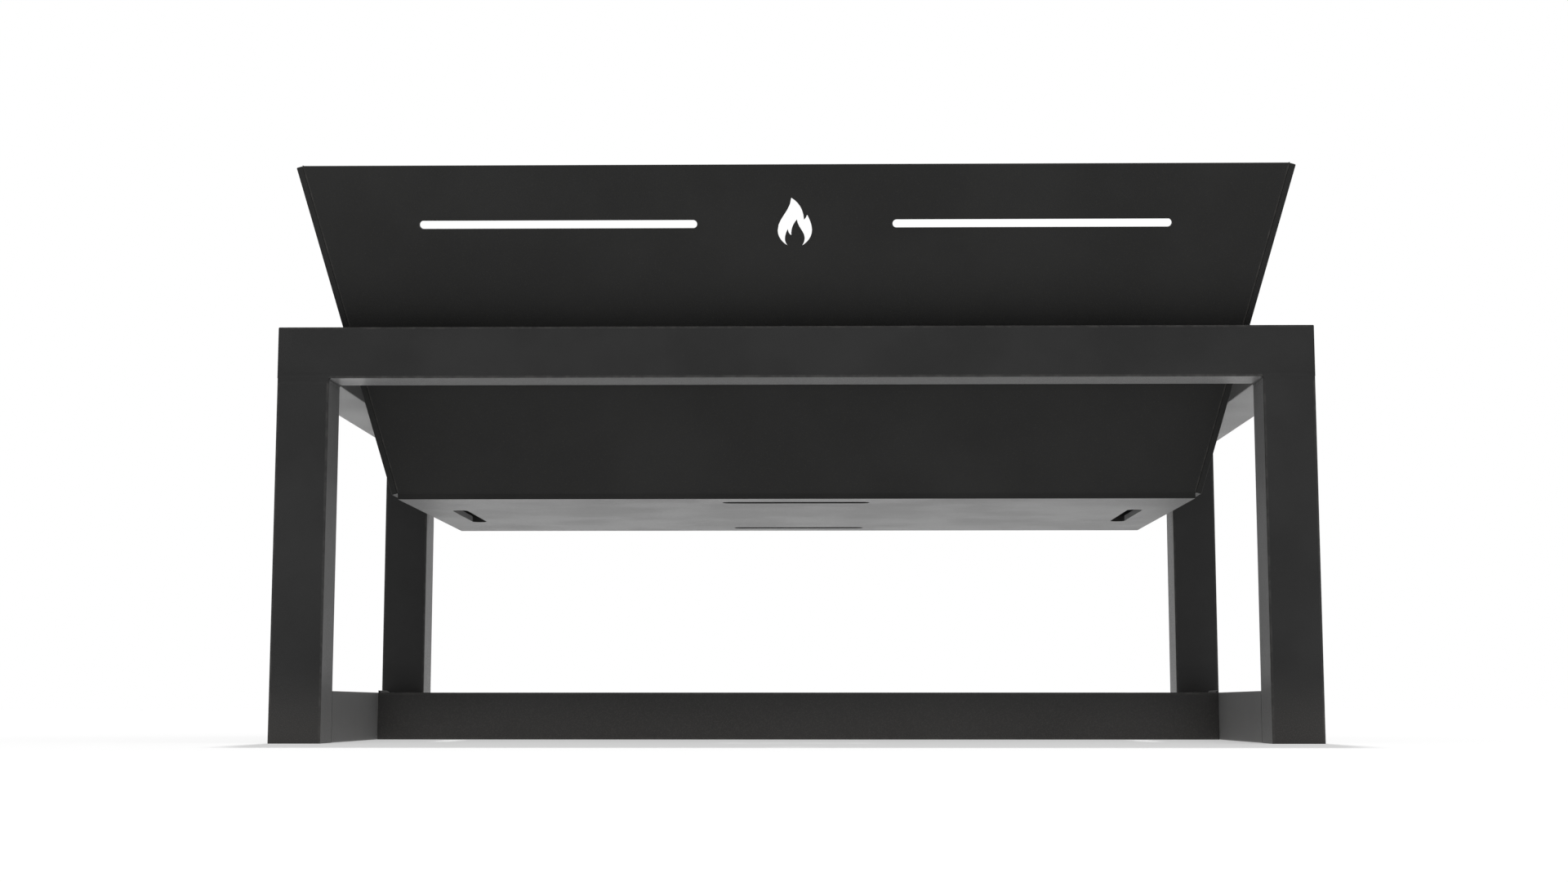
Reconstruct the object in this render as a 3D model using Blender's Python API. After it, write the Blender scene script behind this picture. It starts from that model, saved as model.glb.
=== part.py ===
"""Garden fire pit: a five-plate steel bowl and its drop-in grate, carried in a square-tube frame.

Metres, +Z up.  The origin is on the ground under the middle of the frame, +X runs along the
long side and -Y is the front.  The bowl hangs in the frame on four lugs and lifts straight out,
and the grate lies loose on the bowl's sloping walls and lifts straight out of the bowl.
"""
import math

import bmesh
import bpy
from mathutils import Matrix, Vector

# ---- driving dimensions, in metres ----
FIT_GAP = 0.0003            # between pieces that touch

FRAME_LENGTH = 1.000        # X
FRAME_DEPTH = 0.600         # Y
FRAME_HEIGHT = 0.400        # Z
TUBE = 0.050                # outer side of the square tube
TUBE_WALL = 0.003
TUBE_CORNER = 0.0012        # outer corner radius of the tube
END_PLATE = 0.003           # thickness of the plate that closes a leg's foot

PLATE = 0.006               # thickness of every bowl plate
BOWL_LENGTH = 0.800         # bottom plate, X
BOWL_DEPTH = 0.400          # bottom plate, Y
BOWL_DROP = 0.1583          # the bowl's underside below the frame's top face
WALL_SLANT = 0.327          # width of a wall plate, measured up the slope
WALL_LEAN = math.radians(15)  # from the vertical
SEAM_GAP = 0.0005           # between a long wall's end and the short wall beside it
PLATE_EDGE = 0.0005         # chamfer on the edges of plates and flat bars

SLOT_LENGTH = 0.275         # the two slots in each long wall
SLOT_WIDTH = 0.008
SLOT_OFFSET = 0.2338        # slot centre from the wall's middle
CUTOUT_BELOW_RIM = 0.0582   # slot centre below the rim, down the slope
FLAME_BELOW_RIM = 0.0563    # the same for the flame's centre
VENT_LENGTH = 0.150         # the four slots in the bottom plate
VENT_WIDTH = 0.016
VENT_INSET = 0.042          # vent centre line in from the plate's edge

LUG_LENGTH = 0.060          # along the side rail
LUG_REACH = 0.036           # outwards over the rail
LUG_THICKNESS = 0.006
LUG_SPACING = 0.300         # between the two lugs of one side

GRATE_HEIGHT = 0.320        # underside of the grate above the ground
RIM_BAR_HEIGHT = 0.030
RIM_BAR = 0.006             # thickness of the rim's flat bar
ROD_DIAMETER = 0.012
ROD_COUNT = 19
ROD_LEVEL = 0.022           # rod axis above the grate's underside
BEARER_SPACING = 0.140      # between the two flat bars under the rods
LOOP_ROD = 0.008            # diameter of the lifting loops
LOOP_WIDTH = 0.090          # between the axes of a loop's two legs
LOOP_RISE = 0.055           # top of a loop above the rim's top edge
LOOP_BEND = 0.020           # bend radius on the rod's axis

# ---- sizes that follow from them ----
BOWL_UNDERSIDE = FRAME_HEIGHT - BOWL_DROP
BOWL_FLOOR = BOWL_UNDERSIDE + PLATE
LEAN_SLOPE = math.tan(WALL_LEAN)


# ---- scene and finishes ----
def clear_scene():
    """Remove every object, and the meshes and materials that then have no user."""
    for obj in list(bpy.data.objects):
        bpy.data.objects.remove(obj, do_unlink=True)
    bpy.data.orphans_purge()


def finish(name, colour, roughness, metallic):
    """A Principled BSDF with one colour, roughness and metallic value."""
    material = bpy.data.materials.new(name)
    material.use_nodes = True
    shader = material.node_tree.nodes["Principled BSDF"]
    shader.inputs["Base Color"].default_value = (*colour, 1.0)
    shader.inputs["Roughness"].default_value = roughness
    shader.inputs["Metallic"].default_value = metallic
    return material


def black_coating(name):
    """Fine-textured black powder coat on the frame and the bowl."""
    return finish(name, (0.031, 0.031, 0.031), 0.55, 0.0)


def bare_steel(name):
    """Hot-rolled bar with its dark mill scale, on the grate."""
    return finish(name, (0.055, 0.052, 0.050), 0.60, 0.8)


def add_object(name, data, material, parent=None, location=(0, 0, 0), rotation=(0, 0, 0)):
    """Link one named object, finished and placed."""
    obj = bpy.data.objects.new(name, data)
    bpy.context.scene.collection.objects.link(obj)
    obj.location = location
    obj.rotation_euler = rotation
    obj.parent = parent
    if material:
        data.materials.append(material)
    return obj


def add_empty(name, location, parent=None):
    """The parent of a body that lifts out, on its lifting line."""
    empty = bpy.data.objects.new(name, None)
    bpy.context.scene.collection.objects.link(empty)
    empty.location = location
    empty.parent = parent
    return empty


def mesh_from(bm, name):
    """Close a bmesh off into a mesh with its faces pointing out."""
    bmesh.ops.recalc_face_normals(bm, faces=bm.faces)
    mesh = bpy.data.meshes.new(name)
    bm.to_mesh(mesh)
    bm.free()
    return mesh


# ---- shapes that several pieces share ----
def chamfer_edges(obj, width):
    """Break the sharp edges of a plate or a flat bar."""
    bevel = obj.modifiers.new("edges", 'BEVEL')
    bevel.width = width
    bevel.segments = 1
    bevel.limit_method = 'ANGLE'
    bevel.angle_limit = math.radians(30)


def prism(name, outline, depth):
    """An outline in the local XZ plane, carried along +Y by depth."""
    bm = bmesh.new()
    face = bm.faces.new([bm.verts.new((x, 0, z)) for x, z in outline])
    swept = bmesh.ops.extrude_face_region(bm, geom=[face])
    verts = [item for item in swept["geom"] if isinstance(item, bmesh.types.BMVert)]
    bmesh.ops.translate(bm, verts=verts, vec=(0, depth, 0))
    return mesh_from(bm, name)


def box_mesh(name, size):
    """A box centred on the local origin."""
    bm = bmesh.new()
    bmesh.ops.create_cube(bm, size=1.0, matrix=Matrix.Diagonal((*size, 1.0)))
    return mesh_from(bm, name)


def rod_mesh(name, diameter, length):
    """A round rod along Y, centred on the local origin."""
    bm = bmesh.new()
    bmesh.ops.create_cone(bm, cap_ends=True, segments=16, radius1=diameter / 2, radius2=diameter / 2,
                          depth=length, matrix=Matrix.Rotation(math.radians(90), 4, 'X'))
    mesh = mesh_from(bm, name)
    mesh.shade_smooth()
    mesh.set_sharp_from_angle(angle=math.radians(40))
    return mesh


def stadium(length, width, arc_steps=12):
    """A round-ended slot's outline: two half circles joined by straight sides."""
    radius = width / 2
    points = []
    for side in (1, -1):
        for step in range(arc_steps + 1):
            angle = math.pi * step / arc_steps - math.pi / 2
            points.append((side * (length / 2 - radius + radius * math.cos(angle)),
                           side * radius * math.sin(angle)))
    return points


def flame(steps=6):
    """A flame's outline round its centre, as curves from point to point.

    It is a band open at the foot, so the flame inside it stays joined to the plate.  Each
    entry is a curve's end and its two handles, in millimetres; the first curve starts at the tip.
    """
    tip = (-3.4, 23.6)
    curves = [
        ((9.0, 2.2), (3.6, 19.6), (8.6, 12.4)),          # right flank down to the notch
        ((12.1, 7.0), (10.6, 3.2), (11.4, 4.8)),         # up to the side tongue's tip
        ((16.9, -8.0), (13.8, 4.2), (16.9, -2.2)),       # out to the widest point
        ((6.6, -23.6), (16.9, -15.4), (12.0, -20.8)),    # round to the right foot
        ((9.7, -15.6), (8.6, -21.6), (9.8, -19.0)),      # inner flame, right side
        ((2.1, 2.2), (9.5, -9.6), (2.8, -5.4)),          # up to its tip
        ((-3.5, -13.2), (-2.0, -2.0), (-4.0, -7.4)),     # down to the inner notch
        ((-6.9, -7.2), (-5.6, -12.2), (-6.7, -9.8)),     # small inner tongue
        ((-9.8, -17.0), (-8.8, -10.2), (-9.9, -13.8)),   # inner flame, left side
        ((-6.6, -23.6), (-9.7, -20.0), (-8.2, -22.0)),   # to the left foot
        ((-16.9, -8.6), (-12.4, -20.6), (-16.9, -15.2)),  # out to the widest point
        (tip, (-16.9, 3.8), (-4.6, 9.6)),                # left flank up to the tip
    ]
    points = []
    start = Vector(tip)
    for end, handle_a, handle_b in curves:
        for step in range(steps):
            t = step / steps
            point = ((1 - t) ** 3 * start + 3 * t * (1 - t) ** 2 * Vector(handle_a)
                     + 3 * t * t * (1 - t) * Vector(handle_b) + t ** 3 * Vector(end))
            points.append((point.x / 1000, point.y / 1000))
        start = Vector(end)
    return points


def cut(obj, label, outline, centre, flat=False):
    """Cut an outline through a plate; flat turns it to cut along Z instead of Y."""
    mesh = prism(f"{obj.name}_{label}", outline, 4 * PLATE)
    mesh.transform(Matrix.Translation((0, -2 * PLATE, 0)))
    turn = (math.radians(-90), 0, centre[2]) if flat else (0, 0, 0)
    place = (centre[0], centre[1], 0) if flat else centre
    cutter = add_object(mesh.name, mesh, None, obj, place, turn)
    cutter.hide_render = True
    cutter.display_type = 'WIRE'
    boolean = obj.modifiers.new(label, 'BOOLEAN')
    boolean.operation = 'DIFFERENCE'
    boolean.solver = 'EXACT'
    boolean.object = cutter


# ---- frame ----
def rounded_square(half, radius, arc_steps=3):
    """A square outline with rounded corners, anticlockwise."""
    points = []
    for quarter in range(4):
        for step in range(arc_steps + 1):
            angle = math.pi / 2 * (quarter + step / arc_steps)
            corner = math.pi / 2 * quarter + math.pi / 4
            flat = (half - radius) * math.sqrt(2)
            points.append((flat * math.cos(corner) + radius * math.cos(angle),
                           flat * math.sin(corner) + radius * math.sin(angle)))
    return points


def tube_mesh(name, length, mitred=False):
    """Square tube along local X, open at both ends.

    A mitred tube is cut at 45 degrees, longest along its local -Y face.
    """
    outer = rounded_square(TUBE / 2, TUBE_CORNER)
    inner = rounded_square(TUBE / 2 - TUBE_WALL, TUBE_CORNER / 2)
    bm = bmesh.new()
    for outline in (outer, inner):
        ring = [bm.verts.new((-length / 2, y, z)) for y, z in outline]
        for index, vert in enumerate(ring):
            bm.edges.new((vert, ring[(index + 1) % len(ring)]))
    end_face = bmesh.ops.bridge_loops(bm, edges=bm.edges)["faces"]
    swept = bmesh.ops.extrude_face_region(bm, geom=end_face)
    far_end = [item for item in swept["geom"] if isinstance(item, bmesh.types.BMVert)]
    bmesh.ops.translate(bm, verts=far_end, vec=(length, 0, 0))
    if mitred:
        for vert in bm.verts:
            vert.co.x -= math.copysign(vert.co.y + TUBE / 2, vert.co.x)
    mesh = mesh_from(bm, name)
    mesh.shade_smooth()
    mesh.set_sharp_from_angle(angle=math.radians(40))
    return mesh


def make_legs(material):
    """Four upright tubes under the top frame, each with a plate let into its foot."""
    height = FRAME_HEIGHT - TUBE - FIT_GAP
    leg = tube_mesh("leg", height)
    bore = TUBE - 2 * TUBE_WALL - 2 * FIT_GAP
    end_plate = box_mesh("leg_end_plate", (bore, bore, END_PLATE))
    end_plate.materials.append(material)
    for x_side, x_name in ((-1, "left"), (1, "right")):
        for y_side, y_name in ((-1, "front"), (1, "rear")):
            x = x_side * (FRAME_LENGTH - TUBE) / 2
            y = y_side * (FRAME_DEPTH - TUBE) / 2
            add_object(f"leg_{y_name}_{x_name}", leg.copy(), material,
                       location=(x, y, height / 2), rotation=(0, math.radians(90), 0))
            foot = add_object(f"leg_end_plate_{y_name}_{x_name}", end_plate.copy(), None,
                              location=(x, y, END_PLATE / 2))
            chamfer_edges(foot, PLATE_EDGE)


def make_top_rails(material):
    """Four mitred tubes in one level ring, flush with the legs' outer faces."""
    mitre_back = math.sqrt(2) * FIT_GAP
    level = FRAME_HEIGHT - TUBE / 2
    long_rail = tube_mesh("top_rail_long", FRAME_LENGTH - mitre_back, mitred=True)
    short_rail = tube_mesh("top_rail_short", FRAME_DEPTH - mitre_back, mitred=True)
    y = (FRAME_DEPTH - TUBE) / 2
    x = (FRAME_LENGTH - TUBE) / 2
    add_object("top_rail_front", long_rail.copy(), material, location=(0, -y, level))
    add_object("top_rail_rear", long_rail.copy(), material, location=(0, y, level),
               rotation=(0, 0, math.radians(180)))
    add_object("top_rail_right", short_rail.copy(), material, location=(x, 0, level),
               rotation=(0, 0, math.radians(90)))
    add_object("top_rail_left", short_rail.copy(), material, location=(-x, 0, level),
               rotation=(0, 0, math.radians(-90)))


def make_lower_rails(material):
    """A rail on the ground along each short side, and one across the middle."""
    side = tube_mesh("lower_rail_side", FRAME_DEPTH - 2 * TUBE - 2 * FIT_GAP)
    x = (FRAME_LENGTH - TUBE) / 2
    for x_side, name in ((-1, "left"), (1, "right")):
        add_object(f"lower_rail_{name}", side.copy(), material,
                   location=(x_side * x, 0, TUBE / 2), rotation=(0, 0, math.radians(90)))
    cross = tube_mesh("lower_rail_cross", FRAME_LENGTH - 2 * TUBE - 2 * FIT_GAP)
    add_object("lower_rail_cross", cross, material, location=(0, 0, TUBE / 2))


# ---- bowl ----
def wall_half(base_half, up_slope, inward):
    """Half the bowl's inner width at a point of a wall, from how far up and in it lies.

    base_half is the half width at the bottom plate's top edge.
    """
    rise = up_slope * math.cos(WALL_LEAN) + inward * math.sin(WALL_LEAN)
    return base_half + rise * LEAN_SLOPE


def wall_mesh(name, base_half, faces, start):
    """A leaning wall before it is stood up: X along it, Z up the slope and +Y inwards.

    faces are the outer and the inner face's place on Y.  The ends follow the neighbouring
    walls' planes, so the plate is a trapezium whose ends are cut on the skew.
    """
    bm = bmesh.new()
    for y in faces:
        low = wall_half(base_half, start, y)
        high = wall_half(base_half, WALL_SLANT, y)
        corners = [(-low, y, start), (low, y, start), (high, y, WALL_SLANT), (-high, y, WALL_SLANT)]
        bm.faces.new([bm.verts.new(corner) for corner in corners])
    bmesh.ops.bridge_loops(bm, edges=bm.edges)
    return mesh_from(bm, name)


def make_bottom_plate(material, bowl):
    """Flat plate with one round-ended vent along each edge."""
    mesh = box_mesh("bottom_plate", (BOWL_LENGTH, BOWL_DEPTH, PLATE))
    plate = add_object("bottom_plate", mesh, material, bowl, location=(0, 0, PLATE / 2))
    chamfer_edges(plate, PLATE_EDGE)
    vent = stadium(VENT_LENGTH, VENT_WIDTH)
    x = BOWL_LENGTH / 2 - VENT_INSET
    y = BOWL_DEPTH / 2 - VENT_INSET
    quarter_turn = math.radians(90)
    cut(plate, "vent_front", vent, (0, -y, 0), flat=True)
    cut(plate, "vent_rear", vent, (0, y, 0), flat=True)
    cut(plate, "vent_left", vent, (-x, 0, quarter_turn), flat=True)
    cut(plate, "vent_right", vent, (x, 0, quarter_turn), flat=True)


def make_long_walls(material, bowl):
    """Front and rear walls: they stand on the bottom plate, between the short walls."""
    mesh = wall_mesh("long_wall", BOWL_LENGTH / 2 - SEAM_GAP, (0, PLATE), FIT_GAP)
    for side, name, heading in ((-1, "front", 0), (1, "rear", math.pi)):
        wall = add_object(f"bowl_wall_{name}", mesh.copy(), material, bowl,
                          location=(0, side * BOWL_DEPTH / 2, PLATE), rotation=(WALL_LEAN, 0, heading))
        chamfer_edges(wall, PLATE_EDGE)
        slot = stadium(SLOT_LENGTH, SLOT_WIDTH)
        slot_level = WALL_SLANT - CUTOUT_BELOW_RIM
        cut(wall, "slot_left", slot, (-SLOT_OFFSET, 0, slot_level))
        cut(wall, "slot_right", slot, (SLOT_OFFSET, 0, slot_level))
        cut(wall, "flame", flame(), (0, 0, WALL_SLANT - FLAME_BELOW_RIM))


def make_short_walls(material, bowl):
    """Left and right walls: they stand outside the bottom plate and cap the long walls' ends."""
    mesh = wall_mesh("short_wall", BOWL_DEPTH / 2, (-PLATE - FIT_GAP, -FIT_GAP), 0)
    for side, name in ((-1, "left"), (1, "right")):
        wall = add_object(f"bowl_wall_{name}", mesh.copy(), material, bowl,
                          location=(side * BOWL_LENGTH / 2, 0, PLATE),
                          rotation=(WALL_LEAN, 0, side * math.radians(90)))
        chamfer_edges(wall, PLATE_EDGE)


def make_lugs(material, bowl):
    """Four flat lugs on the short walls, which rest on the top rails and carry the bowl."""
    underside = FRAME_HEIGHT + FIT_GAP - BOWL_UNDERSIDE
    wall_face = BOWL_LENGTH / 2 + (PLATE + 2 * FIT_GAP) / math.cos(WALL_LEAN)

    def face_at(level):
        return wall_face + (level - PLATE) * LEAN_SLOPE

    top = underside + LUG_THICKNESS
    end = face_at(underside) + LUG_REACH
    outline = [(face_at(underside), underside), (end, underside), (end, top), (face_at(top), top)]
    mesh = prism("bowl_lug", outline, LUG_LENGTH)
    mesh.transform(Matrix.Translation((0, -LUG_LENGTH / 2, 0)))
    for x_name, heading in (("right", 0), ("left", math.pi)):
        for y_side, y_name in ((-1, "front"), (1, "rear")):
            lug = add_object(f"bowl_lug_{y_name}_{x_name}", mesh.copy(), material, bowl,
                             location=(0, y_side * LUG_SPACING / 2, 0), rotation=(0, 0, heading))
            chamfer_edges(lug, PLATE_EDGE)


# ---- grate ----
def grate_half(base_half, wall_inset):
    """Half the grate's outer size where its underside meets a pair of leaning walls."""
    return base_half + (GRATE_HEIGHT - BOWL_FLOOR) * LEAN_SLOPE - wall_inset - FIT_GAP


def make_grate(material, grate):
    """A rim of flat bar on edge, two bearers, a row of round rods and two lifting loops."""
    half_x = grate_half(BOWL_LENGTH / 2, 0)
    half_y = grate_half(BOWL_DEPTH / 2, PLATE / math.cos(WALL_LEAN))
    inner_x = half_x - RIM_BAR
    inner_y = half_y - RIM_BAR
    rim_level = RIM_BAR_HEIGHT / 2

    short_bar = box_mesh("grate_rim_short", (RIM_BAR, 2 * half_y, RIM_BAR_HEIGHT))
    long_bar = box_mesh("grate_rim_long", (2 * (inner_x - FIT_GAP), RIM_BAR, RIM_BAR_HEIGHT))
    for side, x_name, y_name in ((-1, "left", "front"), (1, "right", "rear")):
        short = add_object(f"grate_rim_{x_name}", short_bar.copy(), material, grate,
                           location=(side * (half_x - RIM_BAR / 2), 0, rim_level))
        long = add_object(f"grate_rim_{y_name}", long_bar.copy(), material, grate,
                          location=(0, side * (half_y - RIM_BAR / 2), rim_level))
        chamfer_edges(short, PLATE_EDGE)
        chamfer_edges(long, PLATE_EDGE)

    bearer_height = ROD_LEVEL - ROD_DIAMETER / 2 - FIT_GAP
    bearer_mesh = box_mesh("grate_bearer", (2 * (inner_x - FIT_GAP), RIM_BAR, bearer_height))
    for side, name in ((-1, "front"), (1, "rear")):
        bearer = add_object(f"grate_bearer_{name}", bearer_mesh.copy(), material, grate,
                            location=(0, side * BEARER_SPACING / 2, bearer_height / 2))
        chamfer_edges(bearer, PLATE_EDGE)

    rod = rod_mesh("grate_rod", ROD_DIAMETER, 2 * (inner_y - FIT_GAP))
    pitch = 2 * inner_x / (ROD_COUNT + 1)
    for index in range(ROD_COUNT):
        x = pitch * (index - (ROD_COUNT - 1) / 2)
        add_object(f"grate_rod_{index + 1:02d}", rod.copy(), material, grate, location=(x, 0, ROD_LEVEL))

    for side, name in ((-1, "left"), (1, "right")):
        x = side * (inner_x - FIT_GAP - LOOP_ROD / 2)
        add_object(f"grate_loop_{name}", loop_curve(f"grate_loop_{name}"), material, grate,
                   location=(x, 0, 0))


def loop_curve(name):
    """A round rod bent into a U that stands upside down in the local YZ plane.

    Its legs run down the inside of the rim bar, and its two bends are quarter circles.
    """
    half = LOOP_WIDTH / 2
    crown = RIM_BAR_HEIGHT + LOOP_RISE - LOOP_ROD / 2
    bend_steps = 6
    points = [(-half, ROD_LEVEL - ROD_DIAMETER / 2)]
    for side, first_angle in ((-1, math.pi), (1, math.pi / 2)):
        for step in range(bend_steps + 1):
            angle = first_angle - math.pi / 2 * step / bend_steps
            points.append((side * (half - LOOP_BEND) + LOOP_BEND * math.cos(angle),
                           crown - LOOP_BEND + LOOP_BEND * math.sin(angle)))
    points.append((half, ROD_LEVEL - ROD_DIAMETER / 2))
    curve = bpy.data.curves.new(name, 'CURVE')
    curve.dimensions = '3D'
    curve.bevel_depth = LOOP_ROD / 2
    curve.bevel_resolution = 3
    curve.use_fill_caps = True
    spline = curve.splines.new('POLY')
    spline.points.add(len(points) - 1)
    for spline_point, (y, z) in zip(spline.points, points):
        spline_point.co = (0, y, z, 1)
    return curve


# ---- assembly ----
clear_scene()
frame_coat = black_coating("frame_coat")
make_legs(frame_coat)
make_top_rails(frame_coat)
make_lower_rails(frame_coat)

bowl_lift = add_empty("bowl_lift", (0, 0, BOWL_UNDERSIDE))
bowl_coat = black_coating("bowl_coat")
make_bottom_plate(bowl_coat, bowl_lift)
make_long_walls(bowl_coat, bowl_lift)
make_short_walls(bowl_coat, bowl_lift)
make_lugs(bowl_coat, bowl_lift)

grate_lift = add_empty("grate_lift", (0, 0, GRATE_HEIGHT - BOWL_UNDERSIDE), bowl_lift)
make_grate(bare_steel("grate_steel"), grate_lift)
bpy.context.view_layer.update()
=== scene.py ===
import math

import bmesh
import bpy
import numpy as np
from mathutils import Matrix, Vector


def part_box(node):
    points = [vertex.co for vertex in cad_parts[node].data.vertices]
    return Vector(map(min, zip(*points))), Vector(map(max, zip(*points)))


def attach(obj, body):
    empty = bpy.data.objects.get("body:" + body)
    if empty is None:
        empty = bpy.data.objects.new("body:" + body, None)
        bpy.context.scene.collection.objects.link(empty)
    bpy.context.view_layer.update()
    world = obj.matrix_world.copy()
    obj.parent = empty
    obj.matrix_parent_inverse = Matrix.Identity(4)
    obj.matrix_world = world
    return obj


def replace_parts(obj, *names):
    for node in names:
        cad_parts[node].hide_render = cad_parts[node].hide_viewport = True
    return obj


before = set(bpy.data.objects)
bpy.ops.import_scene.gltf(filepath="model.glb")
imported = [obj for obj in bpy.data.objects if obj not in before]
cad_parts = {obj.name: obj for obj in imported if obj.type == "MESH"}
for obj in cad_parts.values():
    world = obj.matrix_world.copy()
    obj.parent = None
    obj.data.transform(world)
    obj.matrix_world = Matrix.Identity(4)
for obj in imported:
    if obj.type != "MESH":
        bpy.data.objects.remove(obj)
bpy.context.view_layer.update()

scene = bpy.context.scene

# ---- camera ----
# The eye is a few centimetres above the ground, 2.1 m in front of the frame and a little to
# the right of its middle, and looks slightly up at the underside of the bowl.
camera_data = bpy.data.cameras.new("camera")
camera_data.sensor_width = 36.0
camera_data.lens = 50.63
camera = bpy.data.objects.new("camera", camera_data)
camera.location = (0.0204, -2.4015, 0.0337)
camera.rotation_euler = (math.radians(90 + 6.90), 0, math.radians(0.834))
scene.collection.objects.link(camera)
scene.camera = camera

# ---- studio ----
# A pale floor that glows a little, like a lit table, so that shadows stay light.  One soft
# lamp stands high behind the pit.  The room's own light is stronger from the right than from
# the left, and a little stronger from the front than from behind.
lamp_heading = Vector((0.0, -0.4125, -1))       # the way its light travels
floor_half = 30.0

scene.view_settings.view_transform = 'Standard'

lamp_data = bpy.data.lights.new("high_lamp", 'SUN')
lamp_data.energy = 1.9
lamp_data.angle = math.radians(4)
lamp = bpy.data.objects.new("high_lamp", lamp_data)
lamp.rotation_euler = lamp_heading.to_track_quat('-Z', 'Y').to_euler()
scene.collection.objects.link(lamp)


def studio_world(middle, towards_rear, towards_right):
    """A world that the camera sees as white.

    The light that comes from a direction (x, y, z) is middle + towards_rear * y +
    towards_right * x.
    """
    world = bpy.data.worlds.new("studio")
    world.use_nodes = True
    nodes, links = world.node_tree.nodes, world.node_tree.links
    nodes.clear()
    direction = nodes.new('ShaderNodeTexCoord')
    slope = nodes.new('ShaderNodeVectorMath')
    slope.operation = 'DOT_PRODUCT'
    slope.inputs[1].default_value = (towards_right, towards_rear, 0)
    level = nodes.new('ShaderNodeMath')
    level.inputs[1].default_value = middle
    room = nodes.new('ShaderNodeBackground')
    backdrop = nodes.new('ShaderNodeBackground')
    backdrop.inputs["Color"].default_value = (1, 1, 1, 1)
    room.inputs["Color"].default_value = (1, 1, 1, 1)
    seen = nodes.new('ShaderNodeLightPath')
    mix = nodes.new('ShaderNodeMixShader')
    out = nodes.new('ShaderNodeOutputWorld')
    links.new(direction.outputs["Generated"], slope.inputs[0])
    links.new(slope.outputs["Value"], level.inputs[0])
    links.new(level.outputs["Value"], room.inputs["Strength"])
    links.new(seen.outputs["Is Camera Ray"], mix.inputs["Fac"])
    links.new(room.outputs["Background"], mix.inputs[1])
    links.new(backdrop.outputs["Background"], mix.inputs[2])
    links.new(mix.outputs["Shader"], out.inputs["Surface"])
    return world


scene.world = studio_world(middle=0.36, towards_rear=-0.1, towards_right=0.2)

floor_corners = [(-floor_half, -floor_half, 0), (floor_half, -floor_half, 0),
                 (floor_half, floor_half, 0), (-floor_half, floor_half, 0)]
floor_mesh = bpy.data.meshes.new("floor")
floor_mesh.from_pydata(floor_corners, [], [(0, 1, 2, 3)])
floor = bpy.data.objects.new("floor", floor_mesh)
floor_finish = bpy.data.materials.new("floor")
floor_finish.use_nodes = True
floor_shader = floor_finish.node_tree.nodes["Principled BSDF"]
floor_shader.inputs["Base Color"].default_value = (0.6, 0.6, 0.6, 1)
floor_shader.inputs["Roughness"].default_value = 0.9
floor_shader.inputs["Specular IOR Level"].default_value = 0.0
floor_shader.inputs["Emission Color"].default_value = (1, 1, 1, 1)
floor_shader.inputs["Emission Strength"].default_value = 0.47
floor_mesh.materials.append(floor_finish)
scene.collection.objects.link(floor)

# ---- frame tubes ----
# Legs and rails are cold-drawn square steel tube with tight corners, sawn, welded and ground
# flush at the joints, then powder coated a fine-textured black all over.  The coat is thin on
# the corners.  The feet and lower rails are painted paler towards the ground: partly a little
# pale dust, partly painted fill light on these shaded parts.
tube_corner = 0.0012        # outer corner radius
tube_wall = 0.003
joint_gap = 0.0003          # root gap that a joint's weld fills
edge_band = 0.0015          # how far a corner's rub reaches onto the flats
crease = math.radians(32)   # steeper edges than this are shaded as sharp
merge_distance = 1e-6       # points closer than this are one point

grain_depth = 0.00012       # of the coat's texture, as bump
peel_height = 0.6           # of the orange peel, against 1 for the stipple
sanded_height = 3.0         # of the marks left where steel was ground
stipple_lost = 0.7          # share of the stipple that is gone there
coat_mottle = 0.12          # how far the coat's colour drifts either way
gloss_drift = 0.04          # and its roughness
glint_share = 0.5           # how far a proud grain turns to the paler colour: a painted glint
lying_dust = 0.3            # how far a face turned up turns to the dust's colour
dust_roughness = 0.4        # what full dust adds to the coat's roughness
# also the colour of the painted fill light near the ground
dust_and_fill_colour = (0.17, 0.16, 0.15)


def node_group(name, inputs, outputs):
    """An empty shader group and its input and output nodes; every input is a number."""
    group = bpy.data.node_groups.new(name, 'ShaderNodeTree')
    for label, value in inputs.items():
        socket = group.interface.new_socket(label, in_out='INPUT', socket_type='NodeSocketFloat')
        socket.default_value = value
    for label in outputs:
        group.interface.new_socket(label, in_out='OUTPUT', socket_type='NodeSocketFloat')
    return group, group.nodes.new('NodeGroupInput'), group.nodes.new('NodeGroupOutput')


def add_noise(tree, scale, detail=2.0, roughness=0.5, stretch=(1, 1, 1)):
    """Noise on Object coordinates; scale is in features per metre."""
    coordinates = tree.nodes.new('ShaderNodeTexCoord')
    mapping = tree.nodes.new('ShaderNodeMapping')
    mapping.inputs["Scale"].default_value = stretch
    noise = tree.nodes.new('ShaderNodeTexNoise')
    noise.inputs["Scale"].default_value = scale
    noise.inputs["Detail"].default_value = detail
    noise.inputs["Roughness"].default_value = roughness
    tree.links.new(coordinates.outputs["Object"], mapping.inputs["Vector"])
    tree.links.new(mapping.outputs["Vector"], noise.inputs["Vector"])
    return noise.outputs["Fac"]


def add_range(tree, value, low, high, to_low=0.0, to_high=1.0):
    """value eased from low..high to to_low..to_high and held there beyond."""
    node = tree.nodes.new('ShaderNodeMapRange')
    node.interpolation_type = 'SMOOTHSTEP'
    node.inputs["From Min"].default_value = low
    node.inputs["From Max"].default_value = high
    node.inputs["To Min"].default_value = to_low
    node.inputs["To Max"].default_value = to_high
    tree.links.new(value, node.inputs["Value"])
    return node.outputs["Result"]


def add_math(tree, operation, a, b=0.0):
    """A Math node; a and b are sockets or numbers."""
    node = tree.nodes.new('ShaderNodeMath')
    node.operation = operation
    for socket, value in zip(node.inputs, (a, b)):
        if isinstance(value, (int, float)):
            socket.default_value = value
        else:
            tree.links.new(value, socket)
    return node.outputs["Value"]


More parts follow.
